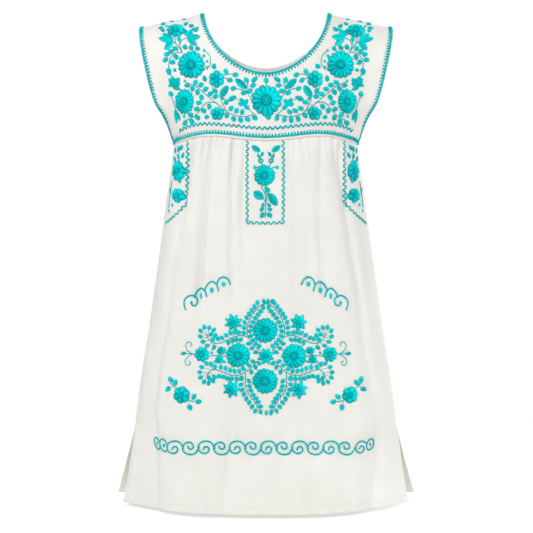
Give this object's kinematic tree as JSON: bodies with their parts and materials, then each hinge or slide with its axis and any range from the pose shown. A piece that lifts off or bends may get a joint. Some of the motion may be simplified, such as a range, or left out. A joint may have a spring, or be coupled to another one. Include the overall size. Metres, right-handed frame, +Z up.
{
  "type": "embroidered dress",
  "caption": "Knee-length cotton dress gathered under a wide yoke with cap sleeves, embroidered with flowers in satin stitch, filled out as worn.",
  "frame": {"origin": "midway between the two ends of the neck hole, at shoulder height, where the wearer's shoulders hold the dress", "axes": "+Z up, +X towards the wearer's left, and the front of the dress faces -Y"},
  "size_m": [0.582, 0.3349, 0.9235],
  "materials": {
    "yoke_cotton": "plain-woven natural cotton",
    "skirt_cotton": "plain-woven natural cotton, gathered",
    "embroidery_thread": "stranded cotton in satin stitch, low sheen"
  },
  "bodies": {
    "root": {"yoke": "yoke_cotton", "skirt_front": "skirt_cotton", "skirt_back": "skirt_cotton"}
  },
  "joints": []
}
